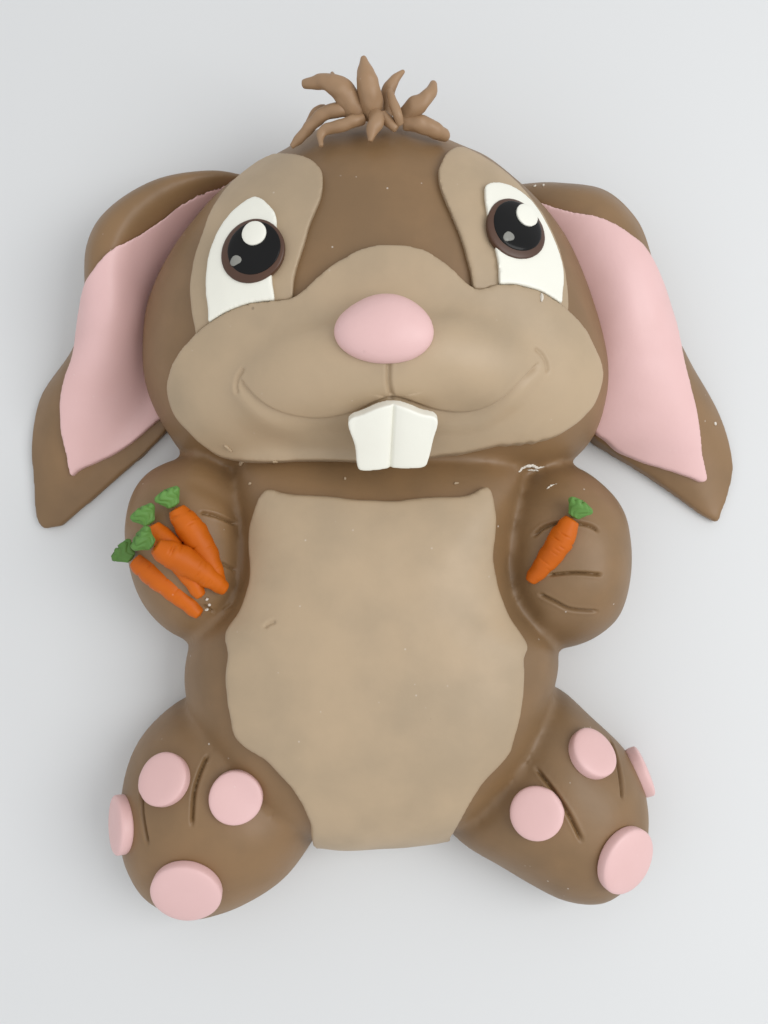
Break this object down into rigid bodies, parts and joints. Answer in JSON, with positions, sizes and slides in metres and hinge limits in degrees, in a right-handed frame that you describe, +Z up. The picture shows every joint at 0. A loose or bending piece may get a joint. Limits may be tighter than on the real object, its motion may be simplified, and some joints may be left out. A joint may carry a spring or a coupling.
{
  "type": "rabbit-shaped carrot cake",
  "caption": "A fondant-covered cake shaped as a lop-eared rabbit lying on its back, with marzipan carrots on its paws",
  "frame": {"origin": "middle of the footprint, on the surface that the cake stands on", "axes": "+Z points up out of the rabbit's face and belly; +Y points from its feet to the top of its head; +X is on the right of a viewer who looks down with the head at the top"},
  "size_m": [0.2986, 0.3245, 0.0955],
  "materials": {
    "brown_fondant": "rolled brown fondant, satin, eggshell smooth, with a few specks of icing sugar",
    "hair_fondant": "hand-rolled brown fondant strands, satin",
    "tan_fondant": "rolled light tan fondant, satin",
    "pink_fondant": "rolled pale pink fondant, satin",
    "white_fondant": "white fondant, satin",
    "iris_fondant": "dark brown fondant, soft sheen",
    "black_glaze": "black fondant under a clear glaze",
    "orange_marzipan": "orange marzipan, satin",
    "green_marzipan": "green marzipan, satin"
  },
  "bodies": {
    "root": {"belly_panel": "tan_fondant", "cake_body": "brown_fondant", "carrot_1": "orange_marzipan", "carrot_1_leaves": "green_marzipan", "carrot_2": "orange_marzipan", "carrot_2_leaves": "green_marzipan", "carrot_3": "orange_marzipan", "carrot_3_leaves": "green_marzipan", "carrot_4": "orange_marzipan", "carrot_4_leaves": "green_marzipan", "carrot_5": "orange_marzipan", "carrot_5_leaves": "green_marzipan", "ear_l": "brown_fondant", "ear_lining_l": "pink_fondant", "ear_lining_r": "pink_fondant", "ear_r": "brown_fondant", "eye_patch_l": "tan_fondant", "eye_patch_r": "tan_fondant", "eye_white_l": "white_fondant", "eye_white_r": "white_fondant", "glint_large_l": "white_fondant", "glint_large_r": "white_fondant", "glint_small_l": "white_fondant", "glint_small_r": "white_fondant", "hair_cross": "hair_fondant", "hair_curl_back": "hair_fondant", "hair_curl_l": "hair_fondant", "hair_front": "hair_fondant", "hair_l_arch": "hair_fondant", "hair_l_back": "hair_fondant", "hair_l_low": "hair_fondant", "hair_lit": "hair_fondant", "hair_r_low": "hair_fondant", "hair_r_up": "hair_fondant", "hair_spike": "hair_fondant", "hair_spike_r": "hair_fondant", "iris_l": "iris_fondant", "iris_r": "iris_fondant", "muzzle": "tan_fondant", "nose": "pink_fondant", "pad_heel_l": "pink_fondant", "pad_heel_r": "pink_fondant", "pad_toe_l_inner": "pink_fondant", "pad_toe_l_middle": "pink_fondant", "pad_toe_l_outer": "pink_fondant", "pad_toe_r_inner": "pink_fondant", "pad_toe_r_middle": "pink_fondant", "pad_toe_r_outer": "pink_fondant", "pupil_l": "black_glaze", "pupil_r": "black_glaze", "teeth": "white_fondant"}
  },
  "joints": []
}
